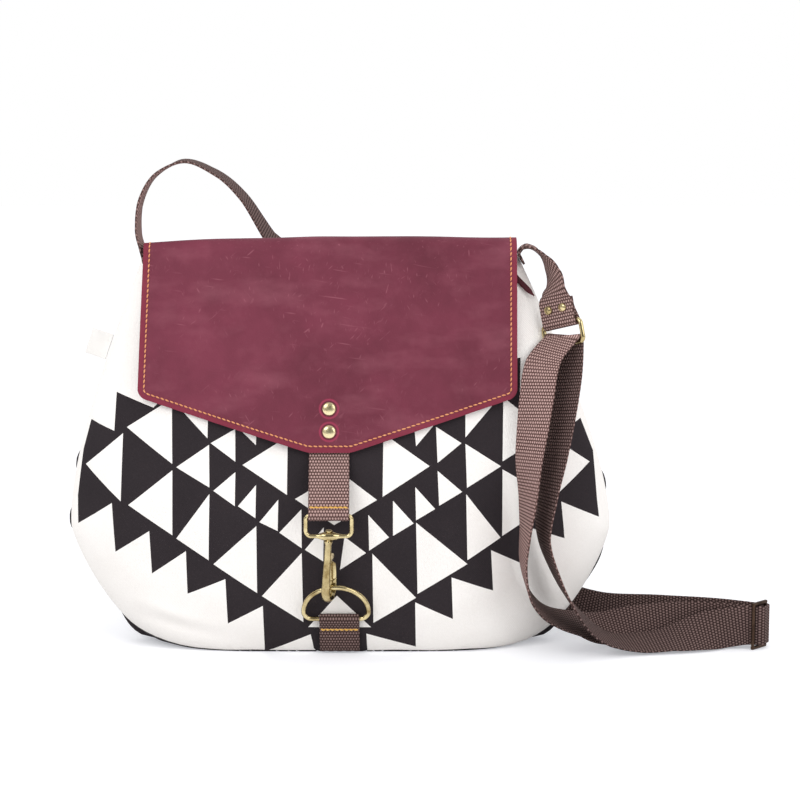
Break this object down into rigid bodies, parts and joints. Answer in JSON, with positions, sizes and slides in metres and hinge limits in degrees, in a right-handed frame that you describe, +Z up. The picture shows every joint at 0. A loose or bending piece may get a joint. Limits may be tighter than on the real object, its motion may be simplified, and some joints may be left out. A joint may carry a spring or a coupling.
{
  "type": "crossbody bag",
  "caption": "Rounded canvas crossbody bag with a pointed leather flap, snap hook and D-ring closure, lined zip mouth and webbing shoulder strap.",
  "frame": {"origin": "on the floor under the middle of the bag's flat base", "axes": "+X to the right as seen from the front, along the bag's width; +Y to the back; +Z up"},
  "size_m": [0.4514, 0.1329, 0.3122],
  "materials": {
    "canvas": "woven cotton with a black print",
    "dark_canvas": "plain woven cotton",
    "lining_cloth": "plain cotton",
    "zip_cloth": "woven zip tape",
    "brass": "antique brass",
    "leather": "waxed burgundy leather",
    "webbing": "woven taupe webbing",
    "bronze": "dark bronze",
    "label_cloth": "plain folded tape"
  },
  "bodies": {
    "bag": {"front_panel": "canvas", "back_panel": "dark_canvas", "lining": "lining_cloth", "zip_tape_front": "zip_cloth", "zip_teeth_front": "brass", "zip_tape_back": "zip_cloth", "zip_teeth_back": "brass", "zip_slider": "brass", "zip_pull": "leather", "d_ring_tab": "webbing", "strap_stub": "webbing", "stub_rivet_left": "brass", "stub_rivet_right": "brass", "strap_ring": "brass", "strap_slider": "bronze", "shoulder_strap": "webbing", "side_label": "label_cloth"},
    "flap": {"flap": "leather", "flap_rivet_lower": "brass", "flap_rivet_upper": "brass", "closure_webbing": "webbing"},
    "bail": {"hook_bail": "brass"},
    "hook": {"hook_body": "brass", "hook_gate_pin": "brass"},
    "gate": {"hook_gate": "brass"},
    "d_ring": {"d_ring": "brass"}
  },
  "joints": [
    {"name": "flap_lift", "type": "hinge", "parent": "bag", "child": "flap", "pos_m": [-0.0065, 0.0154, 0.2543], "axis": [-1, 0, 0], "range_deg": [0, 95]},
    {"name": "bail_swing", "type": "hinge", "parent": "flap", "child": "bail", "pos_m": [-0.0069, -0.05704, 0.09437], "axis": [1, 0, 0], "range_deg": [-1, 0.5]},
    {"name": "hook_swivel", "type": "hinge", "parent": "bail", "child": "hook", "pos_m": [-0.0069, -0.05704, 0.08137], "axis": [0.061, 0, 0.9981], "range_deg": [-4, 6]},
    {"name": "gate_press", "type": "hinge", "parent": "hook", "child": "gate", "pos_m": [-0.00656, -0.05331, 0.06833], "axis": [-0.9545, 0.2924, 0.0584], "range_deg": [0, 18], "stiffness_Nm_per_rad": 0.02, "springref_deg": -11.46},
    {"name": "d_ring_swing", "type": "hinge", "parent": "bag", "child": "d_ring", "pos_m": [-0.003, -0.04058, 0.0248], "axis": [1, 0, 0], "range_deg": [-1, 2]}
  ]
}
